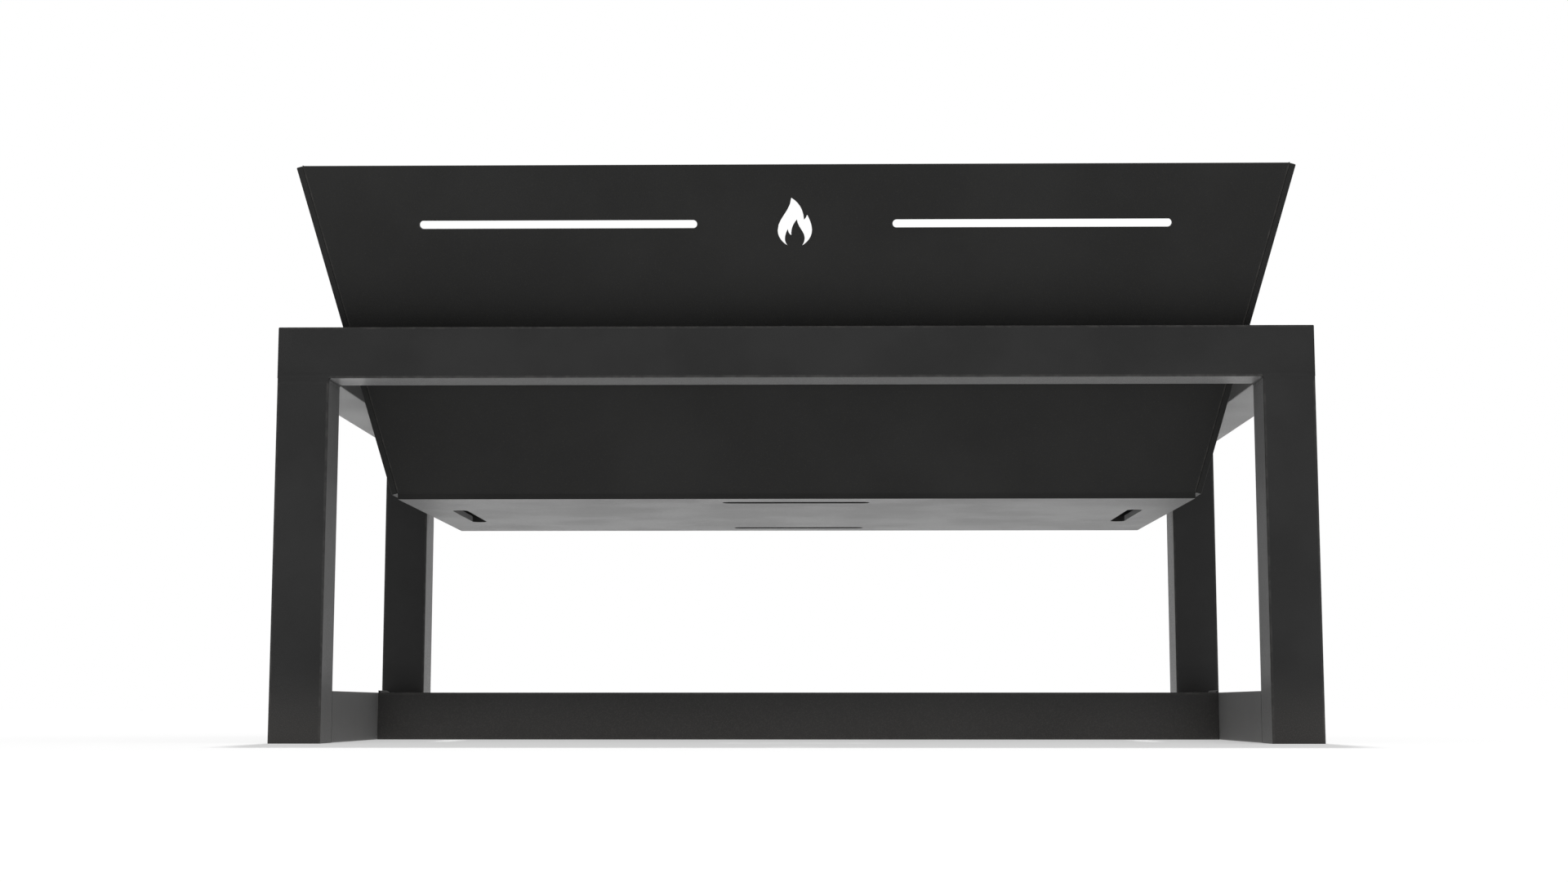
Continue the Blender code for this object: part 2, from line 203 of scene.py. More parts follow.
def add_mix(tree, factor, colour_a, colour_b):
    """A colour mix; the colours are sockets or RGB triples."""
    node = tree.nodes.new('ShaderNodeMix')
    node.data_type = 'RGBA'
    tree.links.new(factor, node.inputs["Factor"])
    for socket, value in zip((node.inputs[6], node.inputs[7]), (colour_a, colour_b)):
        if isinstance(value, tuple):
            socket.default_value = (*value, 1.0)
        else:
            tree.links.new(value, socket)
    return node.outputs[2]


def add_place(tree):
    """The x, y and z of a point on the object."""
    coordinates = tree.nodes.new('ShaderNodeTexCoord')
    split = tree.nodes.new('ShaderNodeSeparateXYZ')
    tree.links.new(coordinates.outputs["Object"], split.inputs["Vector"])
    return split.outputs["X"], split.outputs["Y"], split.outputs["Z"]


def coat_grain_group():
    """Powder coat's surface: a stipple finer than a millimetre on a slow wave of orange peel.

    Height is for a bump, Mottle drifts over a hand's breadth, and a third output marks the few
    grains that stand proud, which the coat paints paler as glints.  Smoothed fades the stipple where
    steel was ground.
    """
    group, given, out = node_group("coat_grain", {"Smoothed": 0.0}, ("Height", "Mottle", "Painted Glint"))
    stipple = add_noise(group, scale=1500, detail=1.0)
    peel = add_noise(group, scale=320, detail=1.0)
    hand_work = add_noise(group, scale=130)
    drift = add_noise(group, scale=9, detail=3.0, roughness=0.55)
    smoothed = given.outputs["Smoothed"]
    lost = add_math(group, 'MULTIPLY', smoothed, stipple_lost)
    left = add_math(group, 'SUBTRACT', 1.0, lost)
    height = add_math(group, 'MULTIPLY', stipple, left)
    height = add_math(group, 'ADD', height, add_math(group, 'MULTIPLY', peel, peel_height))
    sanded = add_math(group, 'MULTIPLY', hand_work, smoothed)
    height = add_math(group, 'ADD', height, add_math(group, 'MULTIPLY', sanded, sanded_height))
    group.links.new(height, out.inputs["Height"])
    group.links.new(add_range(group, drift, 0.3, 0.7), out.inputs["Mottle"])
    # the proudest grains, painted paler as glints in the coat
    painted_glint = add_range(group, stipple, 0.62, 0.75)
    group.links.new(add_math(group, 'MULTIPLY', painted_glint, left), out.inputs["Painted Glint"])
    return group


def dust_and_fill_group():
    """Dust: Lying on faces turned up; the second output is 1 at the ground and 0 from a height up,
    partly dust thrown up from the ground and partly painted fill light.
    """
    group, given, out = node_group("dust", {"Splash Height": 0.08}, ("Lying", "Ground Dust And Fill"))
    geometry = group.nodes.new('ShaderNodeNewGeometry')
    split = group.nodes.new('ShaderNodeSeparateXYZ')
    group.links.new(geometry.outputs["Normal"], split.inputs["Vector"])
    upward = add_range(group, split.outputs["Z"], 0.1, 0.95)
    patches = add_noise(group, scale=26, detail=5.0, roughness=0.6)
    patches = add_range(group, patches, 0.38, 0.72, to_low=0.25)
    grit = add_range(group, add_noise(group, scale=900), 0.45, 0.7, to_low=0.6)
    broken = add_math(group, 'MULTIPLY', patches, grit)
    group.links.new(add_math(group, 'MULTIPLY', upward, broken), out.inputs["Lying"])
    # painted fill light with the dust: 1 at the ground, easing to 0 at the splash height
    height = add_place(group)[2]
    low = add_math(group, 'DIVIDE', height, given.outputs["Splash Height"])
    reach = add_range(group, low, 0.0, 1.0, to_low=1.0, to_high=0.0)
    group.links.new(add_math(group, 'MULTIPLY', reach, grit), out.inputs["Ground Dust And Fill"])
    return group


def frame_joint_group():
    """1 within a few millimetres of a top rail's mitre or of the joint on top of a leg.

    A mitre is where |x| - |y| is half the frame's length less half its depth; a leg's joint is
    the level of the rail's underside, within the tube's width of the frame's corner.  The mask
    is 1 up to near from the joint's line and eases to 0 at far, or at far_down on a leg.
    """
    near, far, far_down = 0.003, 0.007, 0.006
    soft = 0.001                # over which the mask ends at a leg's inner edges
    group, _, out = node_group("frame_joints", {}, ("Mask",))
    leg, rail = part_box("leg_front_left"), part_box("top_rail_front")
    rail_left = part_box("top_rail_left")
    x, y, z = add_place(group)
    across, deep = add_math(group, 'ABSOLUTE', x), add_math(group, 'ABSOLUTE', y)
    from_mitre = add_math(group, 'SUBTRACT', add_math(group, 'SUBTRACT', across, deep),
                          rail[0].y - rail_left[0].x)
    from_mitre = add_math(group, 'ABSOLUTE', from_mitre)
    rail_level = add_range(group, z, rail[0].z - edge_band, rail[0].z)
    mitre = add_range(group, from_mitre, near, far, to_low=1.0, to_high=0.0)
    mitre = add_math(group, 'MULTIPLY', mitre, rail_level)
    from_top = add_math(group, 'ABSOLUTE', add_math(group, 'SUBTRACT', z, rail[0].z))
    corner = add_math(group, 'MULTIPLY', add_range(group, across, -leg[1].x - soft, -leg[1].x),
                      add_range(group, deep, -leg[1].y - soft, -leg[1].y))
    top = add_range(group, from_top, near, far_down, to_low=1.0, to_high=0.0)
    top = add_math(group, 'MULTIPLY', top, corner)
    group.links.new(add_math(group, 'MAXIMUM', mitre, top), out.inputs["Mask"])
    return group


def place_group(material, group):
    """Put a group into a material; returns its node."""
    node = material.node_tree.nodes.new('ShaderNodeGroup')
    node.node_tree = group
    return node


def add_bump(tree, height, distance, shader):
    """Feed a height through a Bump node to the shader's Normal; distance is in metres."""
    bump = tree.nodes.new('ShaderNodeBump')
    bump.inputs["Strength"].default_value = 1.0
    bump.inputs["Distance"].default_value = distance
    tree.links.new(height, bump.inputs["Height"])
    tree.links.new(bump.outputs["Normal"], shader.inputs["Normal"])


coat_grain = coat_grain_group()
dust = dust_and_fill_group()
frame_joints = frame_joint_group()


def coat_material(name, body, worn_and_highlight, specular, roughness, sheen, joints=None, ground_dust_and_fill=0.0, rim=None):
    """Textured black coat: body colour, mottled; lighter where an edge is rubbed or dust lies, with
    painted glints on proud grains, painted highlights and painted fill light near the ground.

    The 'edge' attribute of a mesh is 1 on a rounded corner and 0 on the flats, and 1 on the bowl's
    outer corner lines, where the paler colour is a painted highlight; rim is the level of a plate's
    rubbed top edge; joints is a group that marks welds ground flush.
    """
    material = bpy.data.materials.new(name)
    material.use_nodes = True
    tree = material.node_tree
    shader = tree.nodes["Principled BSDF"]
    grain = place_group(material, coat_grain)
    dust_and_fill = place_group(material, dust)

    dark = tuple(channel * (1 - coat_mottle) for channel in body)
    light = tuple(channel * (1 + coat_mottle) for channel in body)
    colour = add_mix(tree, grain.outputs["Mottle"], dark, light)
    # painted glint: proud grains of the stipple turned towards the paler colour
    painted_glint = add_math(tree, 'MULTIPLY', grain.outputs["Painted Glint"], glint_share)
    colour = add_mix(tree, painted_glint, colour, worn_and_highlight)
    edge = tree.nodes.new('ShaderNodeAttribute')
    edge.attribute_name = "edge"
    rubbed = edge.outputs["Fac"]
    if joints:
        ground = place_group(material, joints).outputs["Mask"]
        tree.links.new(ground, grain.inputs["Smoothed"])
        rubbed = add_math(tree, 'MULTIPLY', rubbed, add_math(tree, 'SUBTRACT', 1.0, ground))
    if rim:
        height = add_place(tree)[2]
        rubbed = add_math(tree, 'MAXIMUM', rubbed, add_range(tree, height, rim - edge_band, rim))
    # Paler where the edge mask is 1: wear on rounded corners, and a painted highlight on the bowl's
    # outer corner lines.
    breaks = add_noise(tree, scale=60, detail=4.0, roughness=0.7)
    breaks = add_range(tree, breaks, 0.42, 0.62, to_low=0.25)
    colour = add_mix(tree, add_math(tree, 'MULTIPLY', rubbed, breaks), colour, worn_and_highlight)
    # painted fill light with dust: the coat turns paler towards the ground, below the splash height
    lying = add_math(tree, 'MULTIPLY', dust_and_fill.outputs["Lying"], lying_dust)
    thrown_dust_and_fill = add_math(tree, 'MULTIPLY', dust_and_fill.outputs["Ground Dust And Fill"], ground_dust_and_fill)
    dust_and_fill_cover = add_math(tree, 'MAXIMUM', lying, thrown_dust_and_fill)
    colour = add_mix(tree, dust_and_fill_cover, colour, dust_and_fill_colour)
    tree.links.new(colour, shader.inputs["Base Color"])

    dull = add_range(tree, grain.outputs["Mottle"], 0.0, 1.0, roughness - gloss_drift,
                     roughness + gloss_drift)
    dull = add_math(tree, 'ADD', dull, add_math(tree, 'MULTIPLY', dust_and_fill_cover, dust_roughness))
    tree.links.new(dull, shader.inputs["Roughness"])
    shader.inputs["Specular IOR Level"].default_value = specular
    shader.inputs["Sheen Weight"].default_value = sheen
    shader.inputs["Sheen Roughness"].default_value = 0.25
    add_bump(tree, grain.outputs["Height"], grain_depth, shader)
    return material


# the frame's splash share is painted fill light as well as dust: it lifts the shaded lower rails and
# feet
frame_coat = coat_material("frame_coat", body=(0.0355, 0.0355, 0.0355), worn_and_highlight=(0.066, 0.065, 0.063),
                           specular=0.14, roughness=0.40, sheen=0.72, joints=frame_joints, ground_dust_and_fill=0.33)


def surface(rings, capped=True, edge=0.0):
    """Points, quads and rubbed-edge mask of a surface through rings of points, rows x columns x 3.

    Row joins to row and each ring closes on itself.  capped closes both ends with a fan from the
    ring's middle; otherwise the last ring is the first one again.  edge is 1 where coat is rubbed.
    """
    edge = np.broadcast_to(edge, rings.shape[:2])
    if capped:
        ends = rings[[0, -1]]
        middles = np.broadcast_to(ends.mean(axis=1, keepdims=True), ends.shape)
        rings = np.concatenate([middles[:1], rings, middles[1:]])
        edge = np.concatenate([edge[:1], edge, edge[-1:]])
    rows, columns = rings.shape[:2]
    row, column = np.arange(rows - 1)[:, None], np.arange(columns)[None, :]
    following = (column + 1) % columns
    quads = np.stack([row * columns + column, row * columns + following,
                      (row + 1) * columns + following, (row + 1) * columns + column], axis=-1)
    return rings.reshape(-1, 3), quads.reshape(-1, 4), edge.ravel()


def add_piece(name, surfaces, material, body):
    """One named piece made of one or more surfaces, that rides on a body."""
    points, quads, edge = (list(part) for part in zip(*surfaces))
    first_point = np.cumsum([0] + [len(part) for part in points[:-1]])
    quads = [part + start for part, start in zip(quads, first_point)]
    mesh = bpy.data.meshes.new(name)
    mesh.from_pydata(np.concatenate(points).tolist(), [], np.concatenate(quads).tolist())
    mask = mesh.attributes.new("edge", 'FLOAT', 'POINT')
    mask.data.foreach_set("value", np.concatenate(edge).astype(np.float32))
    shape = bmesh.new()
    shape.from_mesh(mesh)
    bmesh.ops.remove_doubles(shape, verts=shape.verts, dist=merge_distance)
    bmesh.ops.recalc_face_normals(shape, faces=shape.faces)
    shape.to_mesh(mesh)
    shape.free()
    mesh.shade_smooth()
    mesh.set_sharp_from_angle(angle=crease)
    mesh.materials.append(material)
    piece = bpy.data.objects.new(name, mesh)
    scene.collection.objects.link(piece)
    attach(piece, body)
    return piece


def rounded_ring(half_u, half_v, radius, band, arc_steps=5):
    """A rectangle's outline with quarter-circle corners, anticlockwise, and its edge mask.

    Each corner is the arc centre + radius * (cos a, sin a), with one more point on the flat
    at either side, a band away, where the mask falls to 0.
    """
    points, mask = [], []
    for quarter in range(4):
        turn = quarter * np.pi / 2
        angle = turn + np.linspace(0, np.pi / 2, arc_steps + 1)
        middle = turn + np.pi / 4
        centre = np.sign([np.cos(middle), np.sin(middle)]) * (half_u - radius, half_v - radius)
        arc = centre + radius * np.stack([np.cos(angle), np.sin(angle)], axis=1)
        before = arc[0] - band * np.array([-np.sin(turn), np.cos(turn)])
        after = arc[-1] + band * np.array([-np.cos(turn), -np.sin(turn)])
        points += [before[None], arc, after[None]]
        mask += [[0.0], np.ones(arc_steps + 1), [0.0]]
    return np.concatenate(points), np.concatenate(mask)


def node_box(node):
    """The two corners of a node's box, as arrays."""
    low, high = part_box(node)
    return np.array(low), np.array(high)


def bar_axes(node):
    """A straight bar's centre, half sizes and axes, from its box.

    The axes run along the bar, across it towards the object's middle, and the third way.
    """
    low, high = node_box(node)
    centre, half = (low + high) / 2, (high - low) / 2
    along = int(np.argmax(half))
    across = 0 if along == 2 else 1 - along
    third = 3 - along - across
    axes = np.zeros((3, 3))
    axes[0, along] = 1
    axes[1, across] = -1 if centre[across] > 0 else 1
    axes[2] = np.cross(axes[0], axes[1])
    return centre, half[[along, across, third]], axes


def station_ring(centre, axes, along, outline):
    """An outline set across a bar, along metres from its centre."""
    along = np.broadcast_to(along, len(outline))
    return centre + np.column_stack([along, outline]) @ axes


def square_tube(node, mitred=False, top_filled=False):
    """A hollow square tube as one closed surface: out along its outside, back along its bore.

    A station is a place along the tube, the outline there and how much its corners are rubbed.
    At a mitred end a point gives up as much length as it lies in from the tube's outer face.
    Mitred and filled ends reach across the root gap that the weld fills.
    """
    centre, (half_length, half, _), axes = bar_axes(node)
    reach = joint_gap / math.sqrt(2) if mitred else 0.0
    low_end = -half_length - reach
    high_end = half_length + reach + (joint_gap if top_filled else 0.0)
    outer, mask = rounded_ring(half, half, tube_corner, edge_band)
    bore = half - tube_wall
    inner, _ = rounded_ring(bore, bore, tube_corner / 2, edge_band)
    start = (low_end, outer, 0.5)
    stations = [start, (low_end + edge_band, outer, 1), (high_end - edge_band, outer, 1),
                (high_end, outer, 0.5), (high_end, inner, 0), (low_end, inner, 0), start]
    rings, edge = [], []
    for station, outline, rub in stations:
        inset = (outline[:, 0] + half) * np.sign(station) if mitred else 0.0
        rings.append(station_ring(centre, axes, station - inset, outline))
        edge.append(mask * rub)
    tube = surface(np.array(rings), capped=False, edge=np.array(edge))
    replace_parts(add_piece(f"{node}_tube", [tube], frame_coat, "frame"), node)


left_right = ((-1, "left"), (1, "right"))
front_rear = ((-1, "front"), (1, "rear"))
for _, x_name in left_right:
    for _, y_name in front_rear:
        square_tube(f"leg_{y_name}_{x_name}", top_filled=True)
for side in ("front", "rear", "left", "right"):
    square_tube(f"top_rail_{side}", mitred=True)
for side in ("left", "right", "cross"):
    square_tube(f"lower_rail_{side}")

# ---- frame welds ----
# Each leg is welded to the top rails all round.  On the two outer faces the weld fills the
# rail's rounded edge and is ground flush; in the two inner corners it is a small dressed fillet.
# A lower rail has a plain rippled fillet across its top at each end.
dressed_size = 0.002
dressed_bulge = -0.12       # of the chord: a dressed fillet is hollow
rail_bead = 0.003
rail_ripple = 0.12          # how much thinner a bead is between two ripples
bead_bulge = 0.12           # of the chord
bead_points = 7             # across a bead's face
ripple_pitch = 0.003
ripple_lag = 0.45           # of a ripple, in the middle of the bead
steps_per_ripple = 5


def seam_path(start, end):
    """Evenly spaced points from start to end, close enough for the ripples."""
    start, end = np.asarray(start, float), np.asarray(end, float)
    steps = int(np.linalg.norm(end - start) / ripple_pitch * steps_per_ripple) + 2
    return start + np.linspace(0, 1, steps)[:, None] * (end - start)


def weld_bead(roots, first, second, bulge=bead_bulge, ripple=0.0, ring=False, edge=0.0):
    """A weld along a path of root points; first and second reach from the root to its two toes.

    Across the bead, a runs from 0 to 1 and a point is root + first * (1 - a) + second * a, plus
    bulge * chord * sin(pi a) outwards.  The size is scaled by 1 - ripple * (1 - |sin(pi u)|),
    where u counts the ripples along the path and lags by ripple_lag * sin(pi a), which bends
    them to crescents.  A ring is a path that ends where it starts.
    """
    first = np.broadcast_to(np.asarray(first, float), roots.shape)
    second = np.broadcast_to(np.asarray(second, float), roots.shape)
    a = np.linspace(0, 1, bead_points)[None, :, None]
    steps = np.linalg.norm(np.diff(roots, axis=0), axis=1)
    travelled = np.concatenate([[0.0], np.cumsum(steps)])[:, None, None]
    ripple_count = max(1, round(travelled[-1, 0, 0] / ripple_pitch))
    turns = travelled / travelled[-1] * ripple_count - ripple_lag * np.sin(np.pi * a)
    scale = 1 - ripple * (1 - np.abs(np.sin(np.pi * turns)))
    outward = first + second
    outward = outward / np.linalg.norm(outward, axis=1, keepdims=True)
    chord = np.linalg.norm(second - first, axis=1)[:, None, None]
    reach = first[:, None] * (1 - a) + second[:, None] * a
    reach = reach + outward[:, None] * bulge * chord * np.sin(np.pi * a)
    face = roots[:, None] + reach * scale
    return surface(np.concatenate([face, roots[:, None]], axis=1), capped=not ring, edge=edge)


def leg_welds(x_side, x_name, y_side, y_name):
    """The flush fill round a leg's outer corner and the two dressed fillets inside it."""
    low, high = node_box(f"leg_{y_name}_{x_name}")
    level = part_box("top_rail_front")[0].z
    side = np.array([x_side, y_side])
    outer = np.where(side < 0, low[:2], high[:2])
    inner = np.where(side < 0, high[:2], low[:2])
    turn = outer - side * tube_corner       # centre of the outer corner's arc
    near = inner + side * tube_corner       # centre of the inner corner's arc
    roots = np.array([(turn[0], inner[1], level), (*turn, level), (inner[0], turn[1], level)])
    out = np.array([(x_side, 0, 0), (x_side, y_side, 0), (0, y_side, 0)]) * tube_corner
    flush = weld_bead(roots, out, out + (0, 0, tube_corner), bulge=0.0)
    down = (0, 0, -dressed_size)
    fillet_x = weld_bead(seam_path((inner[0], turn[1], level), (inner[0], near[1], level)),
                         (-x_side * dressed_size, 0, 0), down, bulge=dressed_bulge)
    fillet_y = weld_bead(seam_path((turn[0], inner[1], level), (near[0], inner[1], level)),
                         (0, -y_side * dressed_size, 0), down, bulge=dressed_bulge)
    return [flush, fillet_x, fillet_y]


def rail_end_welds(node):
    """A fillet across a lower rail's top at both its ends, where it meets another tube."""
    centre, (half_length, half, _), axes = bar_axes(node)
    top = centre[2] + half - tube_corner / 2
    sideways = np.abs(axes[1]) * (half - tube_corner)
    welds = []
    for end in (-1, 1):
        middle = centre + end * axes[0] * (half_length + joint_gap)
        middle[2] = top
        back = -end * axes[0] * rail_bead + (0, 0, tube_corner / 2)
        welds.append(weld_bead(seam_path(middle - sideways, middle + sideways), back,
                               (0, 0, rail_bead), ripple=rail_ripple))
    return welds


frame_welds = []
for x_side, x_name in left_right:
    for y_side, y_name in front_rear:
        frame_welds += leg_welds(x_side, x_name, y_side, y_name)
for side in ("left", "right", "cross"):
    frame_welds += rail_end_welds(f"lower_rail_{side}")
add_piece("frame_welds", frame_welds, frame_coat, "frame")

# ---- leg end plates ----
# A square of 3 mm plate let into the foot of each leg, so that the tube is closed to the
# ground, and coated with the frame.  They keep their modelled shape.


def coat_nodes(prefix, material):
    """Give a material to every kept node whose name starts with a prefix."""
    for name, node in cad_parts.items():
        if name.startswith(prefix):
            node.data.materials.clear()
            node.data.materials.append(material)


coat_nodes("leg_end_plate", frame_coat)

# ---- bowl plates ----
# Five laser-cut plates of 6 mm steel: a bottom with four long vents, two long walls with a flame
# and two slots cut through them, and two short walls that cap the long ones.  They are coated in
# a duller heat-proof black, rubbed a little along the rim, and keep their modelled shape.  The
# coat is painted darker than the frame's, as painted shade on walls that face down and out.
rim_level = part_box("bowl_wall_front")[1].z
# the body is darker than the frame coat's: painted shade for walls that face down and out
bowl_coat = coat_material("bowl_coat", body=(0.024, 0.024, 0.0235), worn_and_highlight=(0.052, 0.050, 0.047),
                          specular=0.12, roughness=0.42, sheen=0.33, rim=rim_level)
coat_nodes("bowl_wall", bowl_coat)
coat_nodes("bottom_plate", bowl_coat)

# ---- bowl seams ----
# The plates are welded on the inside only, with a fillet along every edge of the bottom and up
# each of the four corners, laid by hand and coated with the bowl.  A corner's fillet is left out
# where the grate's rim sits; higher up the walls have leaned clear of it.
lean = math.radians(15)     # of the walls, from the vertical
seam_size = 0.0045
seam_ripple = 0.14
stop_below_rim = 0.003      # where a corner's fillet stops, below the grate's underside
start_above_rim = 0.012     # and where it starts again, above it
plate_low, plate_high = node_box("bottom_plate")
plate = plate_high[2] - plate_low[2]
bowl_floor = plate_high[2]
floor_x = plate_high[0]                             # inner faces of the walls at the floor
floor_y = plate_high[1] - plate / math.cos(lean)
rim_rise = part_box("bowl_wall_left")[1].z - bowl_floor - plate
grate_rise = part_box("grate_rim_left")[0].z - bowl_floor
corner_runs = ((0.0, grate_rise - stop_below_rim),      # heights above the floor
               (grate_rise + start_above_rim, rim_rise))


def bowl_seam(start, end, first, second):
    """A rippled fillet between two bowl plates."""
    return weld_bead(seam_path(start, end), np.multiply(first, seam_size),
                     np.multiply(second, seam_size), ripple=seam_ripple)


def corner_point(x_side, y_side, rise):
    """A point in the inner corner of two walls, at a height above the bowl's floor."""
    spread = rise * math.tan(lean)
    return x_side * (floor_x + spread), y_side * (floor_y + spread), bowl_floor + rise


bowl_seams = []
for x_side, _ in left_right:
    foot = x_side * floor_x
    bowl_seams.append(bowl_seam((foot, -floor_y, bowl_floor), (foot, floor_y, bowl_floor),
                                (-x_side, 0, 0), (x_side * math.sin(lean), 0, math.cos(lean))))
    for y_side, _ in front_rear:
        for start, end in corner_runs:
            bowl_seams.append(bowl_seam(corner_point(x_side, y_side, start),
                                        corner_point(x_side, y_side, end),
                                        (-x_side, 0, 0), (0, -y_side, 0)))
for y_side, _ in front_rear:
    foot = y_side * floor_y
    bowl_seams.append(bowl_seam((-floor_x, foot, bowl_floor), (floor_x, foot, bowl_floor),
                                (0, -y_side, 0), (0, y_side * math.sin(lean), math.cos(lean))))
add_piece("bowl_seams", bowl_seams, bowl_coat, "bowl")

# ---- bowl outer edges ----
# Outside, the weld shows only as a hair line where it comes through the joint: up each corner,
# where it is painted paler than the plates as a painted highlight, and between the long walls and the
# bottom's edge.
corner_gap = 0.0005         # between a long wall's end and the short wall beside it
plate_chamfer = 0.0005
root_depth = 0.0012         # how far the weld reaches in from the outer faces
foot_rise = 0.0015          # how far it covers a long wall's foot
line_bulge = 0.06           # of the corner's hair line, as a share of its width


def outer_corner_line(x_side, y_side, y_name):
    """The weld in one sloping corner, seen from outside: a flat strip that closes the groove, painted
    pale as a highlight.
    """
    low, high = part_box(f"bowl_wall_{y_name}")
    levels = np.array([low.z + plate_chamfer, high.z - 2 * plate_chamfer])
    spread = (levels - bowl_floor) * math.tan(lean)
    face = np.column_stack([x_side * (floor_x + spread), y_side * (plate_high[1] + spread), levels])
    root = face - (x_side * corner_gap / 2, y_side * root_depth, 0)
    inwards = -x_side * (corner_gap + plate_chamfer)
    outwards = x_side * (corner_gap + plate_chamfer) / 2
    # edge 1 turns the whole strip to the paler colour: a painted highlight along the corner
    return weld_bead(root, (inwards, y_side * root_depth, 0), (outwards, y_side * root_depth, 0),
                     bulge=line_bulge, edge=1.0)


def outer_floor_line(y_side):
    """The weld between a long wall's foot and the bottom plate's edge: a flat strip."""
    half = floor_x - plate_chamfer
    y = y_side * (plate_high[1] - root_depth)
    root = np.array([(-half, y, bowl_floor), (half, y, bowl_floor)])
    upper = (0, y_side * (root_depth + foot_rise * math.tan(lean)), foot_rise)
    return weld_bead(root, (0, y_side * root_depth, -plate_chamfer), upper, bulge=0.0)


outer_lines = []
for y_side, y_name in front_rear:
    outer_lines.append(outer_floor_line(y_side))
    for x_side, _ in left_right:
        outer_lines.append(outer_corner_line(x_side, y_side, y_name))
add_piece("bowl_outer_welds", outer_lines, bowl_coat, "bowl")

# ---- bowl lugs ----
# Four short pieces of 6 mm flat bar on the short walls, which rest on the top rails and carry
# the bowl.  Each has one fillet along its top, where it meets the wall.
lug_bead = 0.0035
lug_weld_inset = 0.003      # from each end of the lug
outer_face = floor_x + plate / math.cos(lean)       # of a short wall, at the floor
coat_nodes("bowl_lug", bowl_coat)


def lug_weld(x_side, x_name, y_name):
    """A rippled fillet along a lug's top edge."""
    low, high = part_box(f"bowl_lug_{y_name}_{x_name}")
    x = x_side * (outer_face + (high.z - bowl_floor) * math.tan(lean))
    path = seam_path((x, low.y + lug_weld_inset, high.z), (x, high.y - lug_weld_inset, high.z))
    up_wall = np.array([x_side * math.sin(lean), 0, math.cos(lean)])
    return weld_bead(path, (x_side * lug_bead, 0, 0), up_wall * lug_bead, ripple=seam_ripple)


lug_welds = [lug_weld(x_side, x_name, y_name) for x_side, x_name in left_right
             for _, y_name in front_rear]
add_piece("bowl_lug_welds", lug_welds, bowl_coat, "bowl")

# ---- grate flat bars ----
# The rim and the two bearers are 6 mm hot-rolled flat bar, uncoated.  The rolls leave the edges
# slightly rounded and a blue-grey scale with fine lines along the bar, broken to bare steel.
flat_corner = 0.0009
sawn_chamfer = 0.0004
scale_depth = 0.00006       # of the broken scale, as bump
line_height = 0.5           # of the rolled lines, against 1 for the scale
line_share = 0.5            # how far a line turns to its own colour
rubbed_share = 0.6          # how far an edge turns to the rubbed colour
mill_scale = (0.155, 0.160, 0.175)
bare_steel = (0.33, 0.322, 0.31)
line_steel = (0.45, 0.44, 0.43)         # in the lines drawn by the rolls
rubbed_steel = (0.42, 0.41, 0.40)
straw_tint = (0.26, 0.155, 0.075)
blue_tint = (0.075, 0.085, 0.16)


def heat_tint_group():
    """Heat colours of steel beside a weld, as two masks: Blue up to it, Straw a finger's width out.

    Distance is in metres from the weld, and it is shifted a little by a noise.
    """
    group, given, out = node_group("heat_tint", {"Distance": 1.0}, ("Straw", "Blue"))
    wander = add_range(group, add_noise(group, scale=90), 0.3, 0.7, to_low=-0.002, to_high=0.002)
    away = add_math(group, 'ADD', given.outputs["Distance"], wander)
    straw = add_range(group, away, 0.007, 0.016, to_low=0.75, to_high=0.0)
    blue = add_range(group, away, 0.003, 0.009, to_low=0.8, to_high=0.0)
    group.links.new(straw, out.inputs["Straw"])
    group.links.new(blue, out.inputs["Blue"])
    return group


heat_tint = heat_tint_group()


def rolled_steel(name, stretch, weld_line=None):
    """Hot-rolled steel: scale broken by bare patches, with lines drawn along the bar.

    stretch shrinks the coordinates along the bar; weld_line is the distance from the grate's
    middle at which the rods are welded, so that their ends are tinted.
    """
    material = bpy.data.materials.new(name)
    material.use_nodes = True
    tree = material.node_tree
    shader = tree.nodes["Principled BSDF"]
    lines = add_noise(tree, scale=1400, stretch=stretch)
    cloud = add_noise(tree, scale=45, detail=5.0, roughness=0.6)
    colour = add_mix(tree, add_range(tree, cloud, 0.50, 0.66), mill_scale, bare_steel)
    drawn = add_range(tree, lines, 0.55, 0.75, to_high=line_share)
    colour = add_mix(tree, drawn, colour, line_steel)
    edge = tree.nodes.new('ShaderNodeAttribute')
    edge.attribute_name = "edge"
    rubbed = add_math(tree, 'MULTIPLY', edge.outputs["Fac"], rubbed_share)
    colour = add_mix(tree, rubbed, colour, rubbed_steel)
    if weld_line:
        depth = add_math(tree, 'ABSOLUTE', add_place(tree)[1])
        tint = place_group(material, heat_tint)
        tree.links.new(add_math(tree, 'SUBTRACT', weld_line, depth), tint.inputs["Distance"])
        colour = add_mix(tree, tint.outputs["Straw"], colour, straw_tint)
        colour = add_mix(tree, tint.outputs["Blue"], colour, blue_tint)
    tree.links.new(colour, shader.inputs["Base Color"])
    dull = add_range(tree, cloud, 0.35, 0.7, to_low=0.46, to_high=0.34)
    tree.links.new(dull, shader.inputs["Roughness"])
    shader.inputs["Metallic"].default_value = 0.9
    height = add_math(tree, 'ADD', add_math(tree, 'MULTIPLY', lines, line_height), cloud)
    add_bump(tree, height, scale_depth, shader)
    return material


line_stretch = 0.03         # a line's width against its length
steel_along_x = rolled_steel("steel_along_x", (line_stretch, 1, 1))
steel_along_y = rolled_steel("steel_along_y", (1, line_stretch, 1))


